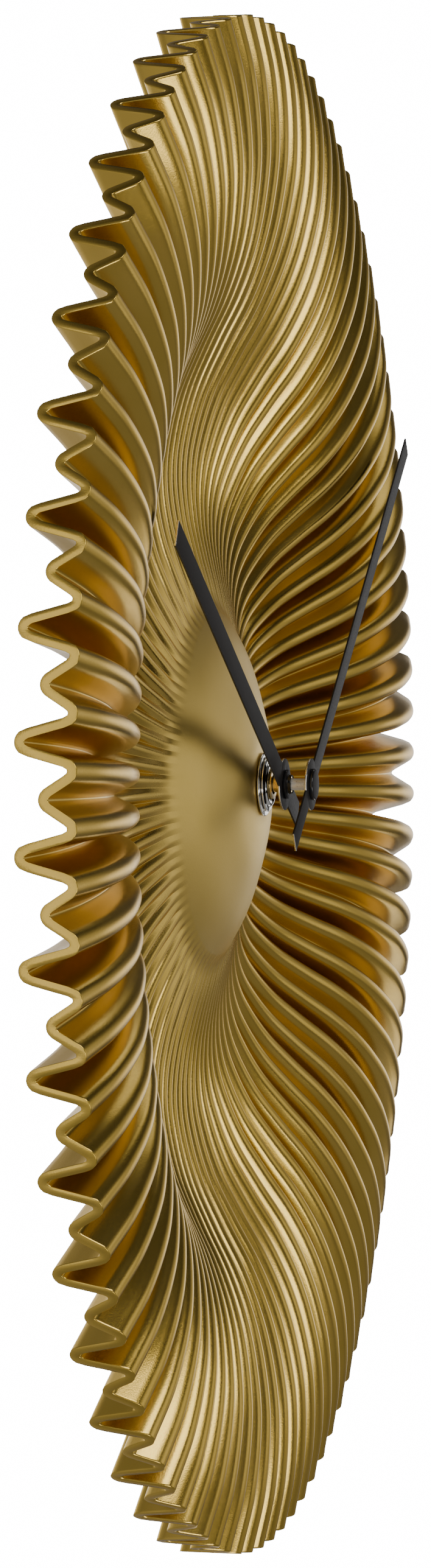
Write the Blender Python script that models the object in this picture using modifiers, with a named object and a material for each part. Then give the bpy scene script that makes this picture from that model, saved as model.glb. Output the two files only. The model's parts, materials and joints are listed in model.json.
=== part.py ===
"""Pleated sunburst wall clock with a quartz movement, as separate pieces.

World frame: +Z is 12 o'clock, the clock faces -Y, and the wall is the plane y = 0.
Every piece is modelled lying flat, in its own x, y and forward z, and is then stood up on its
turning axis, so that its forward z becomes -Y. Metres throughout.
"""

import math

import bmesh
import bpy

MM = 0.001

# Pleated dial. Heights are measured forward from the rim's back plane.
RIM_OFF_WALL = 16.0 * MM
SHEET, PLEAT_SHEET = 2.1 * MM, 2.6 * MM
RIDGES = 96
BUSH_HOLE_R = 4.3 * MM
BOSS_R = 11.0 * MM
# The ridge crests, from the top of the dome out to the rim: (radius, height) in millimetres.
CREST = (
    (11, 12.7), (20, 11.1), (30, 8.1), (40, 4.3), (47.5, -0.9), (54, -2.3), (62, -4.8), (70, -6.5),
    (80, -7.3), (90, -6.4), (104, -2.6), (116, 3.0), (128, 9.3), (140, 14.0), (152, 16.9),
    (166, 18.5), (184, 17.6), (200, 14.4),
)
# Where the sheet's rings of points lie between the hole and the rim, in millimetres of radius.
RING_RADII = (24, 40, 47.5, 62, 80, 100, 124, 148, 172, 200)
PLEAT_START_R, PLEAT_FULL_R = 47.0 * MM, 172.0 * MM
DEEP_PLEAT, SHALLOW_PLEAT = 12.4 * MM, 6.7 * MM
PLEAT_EASE = 1.3

# Quartz movement. Depths are measured forward from the wall.
CASE = 56.0 * MM
CASE_WALL = 1.2 * MM
CASE_FRONT = 16.0 * MM
CASE_FLOOR = 15.1 * MM
COVER = 1.5 * MM
COVER_GAP = 0.1 * MM
BATTERY_R = 7.0 * MM
BATTERY_LENGTH = 50.0 * MM
BATTERY_Z = -19.6 * MM
BATTERY_DEPTH = 7.6 * MM
BAY_TOP_Z = -12.3 * MM
WORKS_FLOOR_Z = -11.3 * MM
POSTS = tuple((x * MM, z * MM) for x in (-23.4, 23.4) for z in (23.4, -7.9))
POST_R, POST_FOOT_R = 2.0 * MM, 2.9 * MM
PLATE_BACK, PLATE_FRONT = 10.9 * MM, 11.7 * MM

# Stack in front of the case
HANGER_BACK, HANGER_SHEET, HANGER_WIDTH = 16.15 * MM, 0.8 * MM, 18.0 * MM
HANGER_EAR_BACK, HANGER_TOP = 0.6 * MM, 41.0 * MM
GASKET_BACK, GASKET_FRONT = 17.1 * MM, 18.1 * MM
BOSS_BACK = 18.3 * MM
DOME_TOP = RIM_OFF_WALL + 12.7 * MM
WASHER_BACK, WASHER_FRONT = DOME_TOP + 0.2 * MM, DOME_TOP + 1.0 * MM
NUT_BACK, NUT_FRONT = DOME_TOP + 1.1 * MM, DOME_TOP + 2.5 * MM
BUSH_R, BUSH_BORE_R = 3.9 * MM, 2.7 * MM
BUSH_BACK, BUSH_FRONT = 15.2 * MM, DOME_TOP + 3.0 * MM

# Hands: (length, tail, width)
HAND_SHEET = 0.5 * MM
HOUR_ANGLE, MINUTE_ANGLE = math.radians(297.3), math.radians(54.2)
HOUR_DEPTH, MINUTE_DEPTH = DOME_TOP + 5.6 * MM, DOME_TOP + 12.7 * MM
HOUR_HAND = (136.0 * MM, 18.0 * MM, 6.9 * MM)
MINUTE_HAND = (161.2 * MM, 25.0 * MM, 5.5 * MM)
HUB_R = 6.8 * MM
HOUR_TUBE_R, HOUR_TUBE_BORE_R = 2.1 * MM, 1.75 * MM
MINUTE_ARBOR_R = 1.55 * MM

# Gear train. Each wheel's depth is its back face.
WHEEL = 0.6 * MM
LEVEL_HOUR, LEVEL_MOTION, LEVEL_MINUTE = 13.8 * MM, 12.3 * MM, 9.4 * MM
LEVEL_THIRD, LEVEL_SECONDS, LEVEL_INTER = 7.9 * MM, 6.4 * MM, 4.9 * MM
MODULE = 0.25 * MM
MODULE_HOUR = 0.24 * MM
MODULE_ROTOR = 0.22 * MM
ARBOR_R = 0.4 * MM
TRAIN_DISTANCE = 36 * MODULE
MODULE_SECONDS = TRAIN_DISTANCE / 34


def polar(distance, degrees, start=(0.0, 0.0)):
    """A point on the movement's face, from a centre, at an angle from +X towards 12 o'clock."""
    angle = math.radians(degrees)
    return start[0] + distance * math.cos(angle), start[1] + distance * math.sin(angle)


CENTRE = (0.0, 0.0)
THIRD = polar(TRAIN_DISTANCE, 45)
INTER = polar(TRAIN_DISTANCE, 135)
ROTOR = polar(35 * MODULE_ROTOR, 120, INTER)
MOTION = polar(24 * MODULE, -40)
KNOB = polar(23 * MODULE, 0, MOTION)


def new_collection(name):
    made = bpy.data.collections.new(name)
    bpy.context.scene.collection.children.link(made)
    return made


def material(name, colour, roughness, metallic):
    made = bpy.data.materials.new(name)
    made.use_nodes = True
    shader = made.node_tree.nodes["Principled BSDF"]
    shader.inputs["Base Color"].default_value = (*colour, 1.0)
    shader.inputs["Roughness"].default_value = roughness
    shader.inputs["Metallic"].default_value = metallic
    return made


for old in list(bpy.data.objects):
    bpy.data.objects.remove(old, do_unlink=True)
PARTS = new_collection("sunburst_wall_clock")
CUTTERS = new_collection("cutters")

GOLD = material("gold_paint", (0.42, 0.30, 0.08), 0.38, 0.75)
BLACK_METAL = material("black_hand_metal", (0.012, 0.011, 0.010), 0.30, 0.6)
CHROME = material("chrome", (0.80, 0.79, 0.76), 0.10, 1.0)
BRASS = material("brass", (0.80, 0.58, 0.22), 0.22, 1.0)
STEEL = material("steel", (0.60, 0.60, 0.60), 0.32, 1.0)
RUBBER = material("black_rubber", (0.02, 0.02, 0.02), 0.80, 0.0)
CASE_PLASTIC = material("black_case_plastic", (0.025, 0.025, 0.027), 0.50, 0.0)
GEAR_PLASTIC = material("white_gear_plastic", (0.82, 0.80, 0.74), 0.45, 0.0)
BOARD_GREEN = material("circuit_board", (0.03, 0.16, 0.06), 0.45, 0.0)
COPPER = material("copper_winding", (0.62, 0.26, 0.10), 0.35, 0.9)
MAGNET = material("ferrite_magnet", (0.06, 0.06, 0.065), 0.60, 0.2)
BATTERY_SLEEVE = material("battery_sleeve", (0.10, 0.14, 0.22), 0.40, 0.3)
EPOXY = material("black_epoxy", (0.015, 0.015, 0.015), 0.35, 0.0)


def stand(obj, axis, depth):
    """Turns a flat-lying piece to face the viewer, its origin on its axis at this depth."""
    obj.rotation_euler = (math.pi / 2, 0.0, 0.0)
    obj.location = (axis[0], -depth, axis[1])


def add(name, mesh, finish, axis=CENTRE, depth=0.0, smooth=True):
    obj = bpy.data.objects.new(name, mesh)
    if finish is None:
        CUTTERS.objects.link(obj)
        obj.hide_render = True
        obj.display_type = "WIRE"
    else:
        PARTS.objects.link(obj)
        mesh.materials.append(finish)
    if smooth:
        mesh.shade_smooth()
        mesh.set_sharp_from_angle(angle=math.radians(35))
    stand(obj, axis, depth)
    return obj


def cylinder(name, radius, low, high, finish=None, axis=CENTRE, sides=24, at=(0.0, 0.0)):
    """A rod along the forward direction, between two depths."""
    bm = bmesh.new()
    bmesh.ops.create_cone(
        bm, cap_ends=True, segments=sides, radius1=radius, radius2=radius, depth=high - low
    )
    bmesh.ops.translate(bm, vec=(at[0], at[1], (high - low) / 2), verts=bm.verts)
    mesh = bpy.data.meshes.new(name)
    bm.to_mesh(mesh)
    bm.free()
    return add(name, mesh, finish, axis, low)


def box(name, low, high, finish=None):
    """A block between two corners, each given as x, height and forward depth."""
    bm = bmesh.new()
    bmesh.ops.create_cube(bm, size=1.0)
    for vert in bm.verts:
        for i in range(3):
            vert.co[i] = (low[i] + high[i]) / 2 + vert.co[i] * (high[i] - low[i])
    mesh = bpy.data.meshes.new(name)
    bm.to_mesh(mesh)
    bm.free()
    return add(name, mesh, finish, smooth=False)


def turned(name, profile, finish, axis=CENTRE, sides=24):
    """A solid of revolution: (radius, depth) points from the outer front round to the back."""
    mesh = bpy.data.meshes.new(name)
    count = len(profile)
    points = [(radius, 0.0, depth) for radius, depth in profile]
    mesh.from_pydata(points, [(i, (i + 1) % count) for i in range(count)], [])
    obj = add(name, mesh, finish, axis)
    screw = obj.modifiers.new("turn", "SCREW")
    screw.axis = "Z"
    screw.steps = sides
    screw.render_steps = sides
    screw.use_merge_vertices = True
    screw.merge_threshold = 0.00001
    return obj


def plate(name, outlines, back, front, finish=None, axis=CENTRE):
    """A flat piece cut to closed outlines. An outline inside another is a hole."""
    curve = bpy.data.curves.new(name + "_outline", "CURVE")
    curve.dimensions = "2D"
    curve.fill_mode = "BOTH"
    curve.extrude = (front - back) / 2
    for outline in outlines:
        spline = curve.splines.new("POLY")
        spline.points.add(len(outline) - 1)
        for point, (x, y) in zip(spline.points, outline):
            point.co = (x, y, 0.0, 1.0)
        spline.use_cyclic_u = True
    flat = bpy.data.objects.new(name + "_outline", curve)
    CUTTERS.objects.link(flat)
    bpy.context.view_layer.update()
    graph = bpy.context.evaluated_depsgraph_get()
    mesh = bpy.data.meshes.new_from_object(flat.evaluated_get(graph))
    bpy.data.objects.remove(flat, do_unlink=True)
    bm = bmesh.new()
    bm.from_mesh(mesh)
    bmesh.ops.remove_doubles(bm, verts=bm.verts, dist=0.000001)
    bmesh.ops.translate(bm, vec=(0.0, 0.0, (front - back) / 2), verts=bm.verts)
    bmesh.ops.recalc_face_normals(bm, faces=bm.faces)
    bm.to_mesh(mesh)
    bm.free()
    mesh.name = name
    mesh.materials.clear()
    return add(name, mesh, finish, axis, back, smooth=False)


def circle(radius, sides=24, at=(0.0, 0.0)):
    angles = [2 * math.pi * i / sides for i in range(sides)]
    return [(at[0] + radius * math.cos(a), at[1] + radius * math.sin(a)) for a in angles]


def rectangle(x_low, z_low, x_high, z_high):
    return [(x_low, z_low), (x_high, z_low), (x_high, z_high), (x_low, z_high)]


def boolean(obj, tools, operation):
    for tool in tools:
        if tool.name not in CUTTERS.objects:
            PARTS.objects.unlink(tool)
            CUTTERS.objects.link(tool)
            tool.hide_render = True
            tool.display_type = "WIRE"
        modifier = obj.modifiers.new(operation.lower(), "BOOLEAN")
        modifier.operation = operation
        modifier.object = tool
    return obj


def cut(obj, *tools):
    return boolean(obj, tools, "DIFFERENCE")


def join(obj, *tools):
    return boolean(obj, tools, "UNION")


def crest_height(radius):
    """The crest line's height at a radius, on a smooth curve through the points of CREST."""
    points = [(r * MM, h * MM) for r, h in CREST]
    if radius <= points[0][0]:
        return points[0][1]
    last = len(points) - 1
    i = max(k for k in range(last) if points[k][0] <= radius)

    def slope(k):
        before, after = points[max(k - 1, 0)], points[min(k + 1, last)]
        return (after[1] - before[1]) / (after[0] - before[0])

    (r0, h0), (r1, h1) = points[i], points[i + 1]
    width = r1 - r0
    t = (radius - r0) / width
    start = (2 * t**3 - 3 * t**2 + 1) * h0 + (t**3 - 2 * t**2 + t) * width * slope(i)
    end = (3 * t**2 - 2 * t**3) * h1 + (t**3 - t**2) * width * slope(i + 1)
    return start + end


def pleat_share(radius):
    """How much of its full depth a pleat has: none on the dome, all of it near the rim."""
    t = min(max((radius - PLEAT_START_R) / (PLEAT_FULL_R - PLEAT_START_R), 0.0), 1.0)
    return math.sin(t * math.pi / 2) ** PLEAT_EASE


def dial_shell():
    """The pleated dial: ridges of one height, and valleys that are deep and shallow by turns."""
    columns = 2 * RIDGES
    bm = bmesh.new()
    weights = []
    rings = []
    radii = [BUSH_HOLE_R] + [r * MM for r in RING_RADII]
    for radius in radii:
        ring = []
        for i in range(columns):
            angle = 2 * math.pi * i / columns
            depth = (SHALLOW_PLEAT, 0.0, DEEP_PLEAT, 0.0)[i % 4] * pleat_share(radius)
            height = crest_height(radius) - depth + RIM_OFF_WALL
            ring.append(bm.verts.new((radius * math.sin(angle), radius * math.cos(angle), height)))
            weights.append(pleat_share(radius))
        rings.append(ring)
    for inner, outer in zip(rings, rings[1:]):
        for i in range(columns):
            j = (i + 1) % columns
            bm.faces.new((inner[i], outer[i], outer[j], inner[j]))
    bmesh.ops.recalc_face_normals(bm, faces=bm.faces)
    if sum(face.normal.z for face in bm.faces) < 0:
        bmesh.ops.reverse_faces(bm, faces=bm.faces)
    mesh = bpy.data.meshes.new("pleated_dial")
    bm.to_mesh(mesh)
    bm.free()
    dial = add("pleated_dial", mesh, GOLD)
    group = dial.vertex_groups.new(name="sheet")
    least = SHEET / PLEAT_SHEET
    for index, weight in enumerate(weights):
        group.add([index], least + (1 - least) * weight, "REPLACE")
    sheet = dial.modifiers.new("sheet", "SOLIDIFY")
    sheet.thickness = PLEAT_SHEET
    sheet.offset = -1.0
    sheet.vertex_group = group.name
    boss = cylinder("dial_boss", BOSS_R, BOSS_BACK, DOME_TOP - 0.3 * MM, sides=32)
    bore = cylinder("dial_boss_bore", BUSH_HOLE_R, BOSS_BACK - 2 * MM, BUSH_FRONT, sides=32)
    join(dial, boss)
    cut(dial, bore)


def fixings():
    turned(
        "fixing_washer",
        [(8.4 * MM, WASHER_FRONT - 0.25 * MM), (8.4 * MM, WASHER_BACK), (BUSH_HOLE_R, WASHER_BACK),
         (BUSH_HOLE_R, WASHER_FRONT), (8.1 * MM, WASHER_FRONT)],
        CHROME,
    )
    turned(
        "fixing_nut",
        [(5.4 * MM, NUT_FRONT), (5.8 * MM, NUT_FRONT - 0.3 * MM), (5.8 * MM, NUT_BACK + 0.7 * MM),
         (7.2 * MM, NUT_BACK + 0.5 * MM), (7.2 * MM, NUT_BACK), (4.1 * MM, NUT_BACK),
         (4.1 * MM, NUT_FRONT)],
        CHROME,
    )
    turned(
        "rubber_gasket",
        [(8.5 * MM, GASKET_FRONT), (8.5 * MM, GASKET_BACK), (BUSH_HOLE_R, GASKET_BACK),
         (BUSH_HOLE_R, GASKET_FRONT)],
        RUBBER,
    )
    turned(
        "threaded_bush",
        [(BUSH_R, BUSH_FRONT), (BUSH_R, BUSH_BACK), (BUSH_BORE_R, BUSH_BACK),
         (BUSH_BORE_R, BUSH_FRONT)],
        BRASS,
    )


def bent_strip(name, path, width, sheet, finish):
    """Sheet metal folded along a path of (height, forward depth) points, thickening to its left."""
    bm = bmesh.new()
    rows = [[bm.verts.new((side * width / 2, z, depth)) for side in (-1, 1)] for z, depth in path]
    for first, second in zip(rows, rows[1:]):
        bm.faces.new((first[0], first[1], second[1], second[0]))
    mesh = bpy.data.meshes.new(name)
    bm.to_mesh(mesh)
    bm.free()
    strip = add(name, mesh, finish, smooth=False)
    solid = strip.modifiers.new("sheet", "SOLIDIFY")
    solid.thickness = sheet
    solid.offset = 1.0
    solid.use_even_offset = True
    return strip


def hanger():
    """A steel strap clamped under the dial, bent back over the case to a nail slot at the wall."""
    over_case = CASE / 2 + 0.3 * MM
    path = [
        (-9 * MM, HANGER_BACK), (over_case, HANGER_BACK), (over_case, HANGER_EAR_BACK + HANGER_SHEET),
        (HANGER_TOP, HANGER_EAR_BACK + HANGER_SHEET),
    ]
    strap = bent_strip("hanger_strap", path, HANGER_WIDTH, HANGER_SHEET, STEEL)
    bore = cylinder("hanger_bore", BUSH_HOLE_R, HANGER_BACK - MM, HANGER_BACK + 2 * MM)
    slot = box("hanger_slot", (-3 * MM, 32 * MM, -MM), (3 * MM, 37 * MM, 3 * MM))
    cut(strap, bore, slot)


def movement_case():
    half = CASE / 2
    inner = half - CASE_WALL
    rim = COVER + COVER_GAP
    case = box("movement_case", (-half, -half, rim), (half, half, CASE_FRONT), CASE_PLASTIC)
    bevel = case.modifiers.new("corners", "BEVEL")
    bevel.width = 1.0 * MM
    bevel.segments = 1
    works = box("works_room", (-inner, WORKS_FLOOR_Z, -MM), (inner, inner, CASE_FLOOR))
    bay = box("battery_room", (-inner, -inner, -MM), (inner, BAY_TOP_Z, CASE_FLOOR))
    bush = cylinder("case_bush_hole", BUSH_R + 0.1 * MM, CASE_FLOOR - MM, CASE_FRONT + MM)
    cut(case, works, bay, bush)
    foot_back, foot_front = PLATE_FRONT + 0.1 * MM, CASE_FLOOR + 0.4 * MM
    for i, post in enumerate(POSTS):
        foot = cylinder(f"case_foot_{i}", POST_FOOT_R, foot_back, foot_front, sides=12, at=post)
        rod = cylinder(f"case_post_{i}", POST_R, rim + 0.1 * MM, foot_back + 0.5 * MM, sides=12, at=post)
        bore = cylinder(f"case_post_bore_{i}", 1.05 * MM, 0.0, 8 * MM, sides=12, at=post)
        join(case, foot, rod)
        cut(case, bore)


def rear_cover():
    half = CASE / 2
    knob_hole = circle(4.6 * MM, 24, KNOB)
    bay = rectangle(-26.2 * MM, -26.9 * MM, 26.2 * MM, BAY_TOP_Z)
    outline = rectangle(-half, -half, half, half)
    cover = plate("rear_cover", [outline, bay, knob_hole], 0.0, COVER, CASE_PLASTIC)
    holes = [
        cylinder(f"cover_screw_hole_{i}", 1.1 * MM, -MM, COVER + MM, sides=12, at=post)
        for i, post in enumerate(POSTS)
    ]
    sinks = [
        cylinder(f"cover_sink_{i}", 2.1 * MM, -MM, 0.9 * MM, sides=16, at=post)
        for i, post in enumerate(POSTS)
    ]
    pivots = [
        cylinder(f"cover_pivot_{i}", ARBOR_R + 0.15 * MM, 0.8 * MM, COVER + MM, sides=12, at=axis)
        for i, axis in enumerate((CENTRE, THIRD, INTER, ROTOR))
    ]
    cut(cover, *holes, *sinks, *pivots)
    for i, post in enumerate(POSTS):
        turned(
            f"cover_screw_{i + 1}",
            [(0.0, 7 * MM), (0.9 * MM, 7 * MM), (0.9 * MM, 0.8 * MM), (1.85 * MM, 0.8 * MM),
             (1.85 * MM, 0.2 * MM), (0.0, 0.2 * MM)],
            STEEL, post, 12,
        )


def gear_outline(teeth, module, tooth_at):
    """A spur gear's outline, with one tooth's middle at the angle tooth_at, in radians."""
    pitch_r = teeth * module / 2
    pitch = 2 * math.pi / teeth
    corners = ((-0.25, -1.15), (-0.10, 0.80), (0.10, 0.80), (0.25, -1.15))
    outline = []
    for tooth in range(teeth):
        for share, rise in corners:
            angle = tooth_at + (tooth + share) * pitch
            radius = pitch_r + rise * module
            outline.append((radius * math.cos(angle), radius * math.sin(angle)))
    return outline


def facing(start, end):
    return math.atan2(end[1] - start[1], end[0] - start[0])


def mating_gap(start, end, driver_teeth, driver_phase, teeth):
    """The phase that puts a gap of the second gear round the first gear's tooth on their line."""
    line = facing(start, end)
    lag = (line - driver_phase) % (2 * math.pi / driver_teeth)
    return line + math.pi + lag * driver_teeth / teeth + math.pi / teeth


def gear(name, teeth, module, phase, back, front, finish=None, axis=CENTRE):
    return plate(name, [gear_outline(teeth, module, phase)], back, front, finish, axis)


def arbor_gear(name, axis, wheel, pinion, arbor):
    """A wheel and a smaller pinion on one arbor. Each is (teeth, module, phase, back, front)."""
    body = gear(name, *wheel, GEAR_PLASTIC, axis)
    leaf = gear(name + "_pinion", *pinion, None, axis)
    rod = cylinder(name + "_arbor", ARBOR_R, *arbor, axis=axis, sides=12)
    return join(body, leaf, rod)


def gear_train():
    """Rotor to minute arbor 1800 to 1, minute arbor to hour wheel 12 to 1."""
    overlap = 0.1 * MM
    minute_phase = facing(CENTRE, THIRD)
    third_pinion = mating_gap(CENTRE, THIRD, 64, minute_phase, 8)
    third_wheel = facing(THIRD, CENTRE)
    seconds_pinion = mating_gap(THIRD, CENTRE, 60, third_wheel, 8)
    seconds_wheel = facing(CENTRE, INTER)
    inter_pinion = mating_gap(CENTRE, INTER, 60, seconds_wheel, 12)
    inter_wheel = facing(INTER, ROTOR)
    rotor_phase = mating_gap(INTER, ROTOR, 60, inter_wheel, 10)
    motion_wheel = facing(MOTION, CENTRE)
    minute_pinion = mating_gap(MOTION, CENTRE, 36, motion_wheel, 12)
    hour_phase = facing(CENTRE, MOTION)
    motion_pinion = mating_gap(CENTRE, MOTION, 40, hour_phase, 10)
    knob_phase = mating_gap(MOTION, KNOB, 36, motion_wheel, 10)

    minute_wheel = (64, MODULE, minute_phase, LEVEL_MINUTE, LEVEL_MINUTE + WHEEL)
    minute_leaf = (12, MODULE, minute_pinion, LEVEL_MOTION - 0.2 * MM, LEVEL_MOTION + 0.9 * MM)
    arbor_back, arbor_front = LEVEL_MOTION + 0.8 * MM, MINUTE_DEPTH + 0.9 * MM
    pivot_back, pivot_front = LEVEL_MINUTE - MM, LEVEL_MINUTE + 1.2 * MM
    minute = gear("minute_wheel", *minute_wheel, GEAR_PLASTIC)
    join(
        minute,
        gear("minute_pinion", *minute_leaf),
        cylinder("minute_hub", 1.2 * MM, LEVEL_MINUTE + overlap, LEVEL_MOTION + overlap, sides=16),
        cylinder("minute_arbor", MINUTE_ARBOR_R, arbor_back, arbor_front),
    )
    cut(minute, cylinder("minute_pivot_bore", ARBOR_R + 0.2 * MM, pivot_back, pivot_front, sides=12))

    hour_wheel = (40, MODULE_HOUR, hour_phase, LEVEL_HOUR, LEVEL_HOUR + WHEEL)
    hour = gear("hour_wheel", *hour_wheel, GEAR_PLASTIC)
    join(hour, cylinder("hour_tube", HOUR_TUBE_R, LEVEL_HOUR + overlap, HOUR_DEPTH + 2.2 * MM))
    cut(hour, cylinder("hour_bore", HOUR_TUBE_BORE_R, LEVEL_HOUR - MM, HOUR_DEPTH + 4 * MM))

    arbor_gear(
        "motion_wheel", MOTION,
        (36, MODULE, motion_wheel, LEVEL_MOTION, LEVEL_MOTION + WHEEL),
        (10, MODULE_HOUR, motion_pinion, LEVEL_MOTION + WHEEL - overlap, LEVEL_HOUR + WHEEL + 0.2 * MM),
        (PLATE_BACK + 0.1 * MM, CASE_FLOOR - 0.2 * MM),
    )
    arbor_gear(
        "third_wheel", THIRD,
        (60, MODULE_SECONDS, third_wheel, LEVEL_THIRD, LEVEL_THIRD + WHEEL),
        (8, MODULE, third_pinion, LEVEL_THIRD + WHEEL - overlap, LEVEL_MINUTE + WHEEL + 0.2 * MM),
        (COVER - 0.5 * MM, PLATE_FRONT - 0.2 * MM),
    )
    arbor_gear(
        "seconds_wheel", CENTRE,
        (60, MODULE, seconds_wheel, LEVEL_SECONDS, LEVEL_SECONDS + WHEEL),
        (8, MODULE_SECONDS, seconds_pinion, LEVEL_SECONDS + WHEEL - overlap,
         LEVEL_THIRD + WHEEL + 0.2 * MM),
        (COVER - 0.5 * MM, LEVEL_MINUTE + MM),
    )
    arbor_gear(
        "intermediate_wheel", INTER,
        (60, MODULE_ROTOR, inter_wheel, LEVEL_INTER, LEVEL_INTER + WHEEL),
        (12, MODULE, inter_pinion, LEVEL_INTER + WHEEL - overlap, LEVEL_SECONDS + WHEEL + 0.2 * MM),
        (COVER - 0.5 * MM, PLATE_FRONT - 0.2 * MM),
    )
    rotor_leaf = (10, MODULE_ROTOR, rotor_phase, LEVEL_INTER - 0.2 * MM, LEVEL_INTER + 0.8 * MM)
    rotor = gear("rotor_pinion", *rotor_leaf, GEAR_PLASTIC, ROTOR)
    rotor_span = (COVER - 0.5 * MM, PLATE_FRONT - 0.2 * MM)
    join(rotor, cylinder("rotor_arbor", ARBOR_R, *rotor_span, axis=ROTOR, sides=12))
    turned(
        "rotor_magnet",
        [(2.6 * MM, 4.3 * MM), (2.6 * MM, 2.7 * MM), (0.5 * MM, 2.7 * MM), (0.5 * MM, 4.3 * MM)],
        MAGNET, ROTOR, 24,
    )
    knob_leaf = (10, MODULE, knob_phase, LEVEL_MOTION - 0.2 * MM, LEVEL_MOTION + 0.9 * MM)
    knob = gear("setting_knob", *knob_leaf, GEAR_PLASTIC, KNOB)
    join(
        knob,
        cylinder("knob_shaft", 0.8 * MM, 2 * MM, LEVEL_MOTION, axis=KNOB, sides=16),
        cylinder("knob_collar", 4.9 * MM, 1.75 * MM, 2.4 * MM, axis=KNOB, sides=24),
        cylinder("knob_grip", 4.0 * MM, 0.3 * MM, 1.9 * MM, axis=KNOB, sides=20),
    )
    slot_low = (KNOB[0] - 5 * MM, KNOB[1] - 0.5 * MM, 0.0)
    slot_high = (KNOB[0] + 5 * MM, KNOB[1] + 0.5 * MM, 0.9 * MM)
    cut(knob, box("knob_slot", slot_low, slot_high))


def mid_plate():
    holes = [circle(1.5 * MM, 16)]
    holes += [circle(ARBOR_R + 0.12 * MM, 12, axis) for axis in (THIRD, INTER, ROTOR, MOTION)]
    holes.append(circle(1.0 * MM, 16, KNOB))
    holes += [circle(POST_R + 0.2 * MM, 16, post) for post in POSTS]
    outline = rectangle(-26.4 * MM, -10.9 * MM, 26.4 * MM, 26.4 * MM)
    plate("gear_plate", [outline, *holes], PLATE_BACK, PLATE_FRONT, GEAR_PLASTIC)


def hand(name, size, bore_r, angle, depth):
    """A square-ended bar with a round hub, pointing at the angle clockwise from 12 o'clock.

    Its size is its length and its tail's, both from the axis, and its width."""
    length, tail, width = size
    half = width / 2
    meet = math.asin(half / HUB_R)
    arc_steps = 12
    right = [math.pi / 2 - meet - i * (math.pi - 2 * meet) / arc_steps for i in range(arc_steps + 1)]
    outline = [(half, length)]
    outline += [(HUB_R * math.cos(a), HUB_R * math.sin(a)) for a in right]
    outline += [(half, -tail), (-half, -tail)]
    outline += [(-HUB_R * math.cos(a), HUB_R * math.sin(a)) for a in reversed(right)]
    outline.append((-half, length))
    turned_by = [
        (x * math.cos(angle) + y * math.sin(angle), y * math.cos(angle) - x * math.sin(angle))
        for x, y in outline
    ]
    return plate(name, [turned_by, circle(bore_r, 24)], depth, depth + HAND_SHEET, BLACK_METAL)


def hands():
    hand("hour_hand", HOUR_HAND, HOUR_TUBE_R + 0.1 * MM, HOUR_ANGLE, HOUR_DEPTH)
    foot, shoulder, front = (HOUR_DEPTH + rise * MM for rise in (0.6, 1.4, 2.4))
    turned(
        "hour_hand_collar",
        [(2.5 * MM, front), (2.6 * MM, shoulder), (3.75 * MM, shoulder - 0.1 * MM), (3.9 * MM, foot),
         (HOUR_TUBE_R + 0.1 * MM, foot), (HOUR_TUBE_R + 0.1 * MM, front)],
        BLACK_METAL,
    )
    hand("minute_hand", MINUTE_HAND, MINUTE_ARBOR_R + 0.1 * MM, MINUTE_ANGLE, MINUTE_DEPTH)
    front = MINUTE_DEPTH + HAND_SHEET
    turned(
        "minute_hand_cap",
        [(0.0, front + 1.2 * MM), (3.7 * MM, front + 1.15 * MM), (4.1 * MM, front + 0.9 * MM),
         (4.2 * MM, front + 0.1 * MM), (MINUTE_ARBOR_R + 0.15 * MM, front + 0.1 * MM),
         (MINUTE_ARBOR_R + 0.15 * MM, front + 0.6 * MM), (0.0, front + 0.6 * MM)],
        BLACK_METAL,
    )


def battery():
    half = BATTERY_LENGTH / 2
    profile = [
        (0.0, half), (2.7 * MM, half), (2.7 * MM, half - 1.2 * MM), (6.4 * MM, half - 1.2 * MM),
        (BATTERY_R, half - 2.0 * MM), (BATTERY_R, -half + 0.5 * MM), (6.5 * MM, -half),
        (0.0, -half),
    ]
    cell = turned("battery_cell", profile, BATTERY_SLEEVE, CENTRE, 24)
    cell.rotation_euler = (0.0, math.pi / 2, 0.0)
    cell.location = (0.0, -BATTERY_DEPTH, BATTERY_Z)


def contacts():
    inner = CASE / 2 - CASE_WALL
    near = BATTERY_LENGTH / 2 + 0.3 * MM
    low, high = -22.5 * MM, -16.5 * MM
    tab = box("positive_contact", (near, low, 3 * MM), (inner - 0.4 * MM, high, 12 * MM), STEEL)
    dome = cylinder("positive_dimple", 1.5 * MM, 0.0, 0.5 * MM, sides=12)
    dome.rotation_euler = (0.0, -math.pi / 2, 0.0)
    dome.location = (inner - 1.3 * MM, -BATTERY_DEPTH, BATTERY_Z)
    cut(tab, dome)
    leaf_edge = -inner + 0.3 * MM
    leaf = box("negative_contact", (leaf_edge, low, 3 * MM), (leaf_edge + 0.5 * MM, high, 12 * MM), STEEL)
    spring_low = (leaf_edge + 0.4 * MM, BATTERY_Z - MM, BATTERY_DEPTH - MM)
    spring = box("negative_spring", spring_low, (-near, BATTERY_Z + MM, BATTERY_DEPTH + MM))
    join(leaf, spring)


def electronics():
    board_back, board_front = 2.2 * MM, 3.0 * MM
    corners = [(15.2, 4), (26.2, 4), (26.2, 20.9), (20.9, 20.9), (20.9, 26.2), (15.2, 26.2)]
    outline = [(x * MM, z * MM) for x, z in corners]
    plate("circuit_board", [outline], board_back, board_front, BOARD_GREEN)
    turned(
        "chip_blob",
        [(0.0, 4.3 * MM), (1.4 * MM, 4.1 * MM), (2.4 * MM, 3.3 * MM), (2.4 * MM, 3.1 * MM),
         (0.0, 3.1 * MM)],
        EPOXY, (20.6 * MM, 10 * MM), 20,
    )
    crystal = turned(
        "quartz_crystal",
        [(0.0, 3 * MM), (0.85 * MM, 3 * MM), (1.0 * MM, 2.8 * MM), (1.0 * MM, -3 * MM), (0.0, -3 * MM)],
        STEEL, CENTRE, 16,
    )
    crystal.rotation_euler = (0.0, 0.0, 0.0)
    crystal.location = (18 * MM, -4.2 * MM, 18 * MM)


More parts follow.
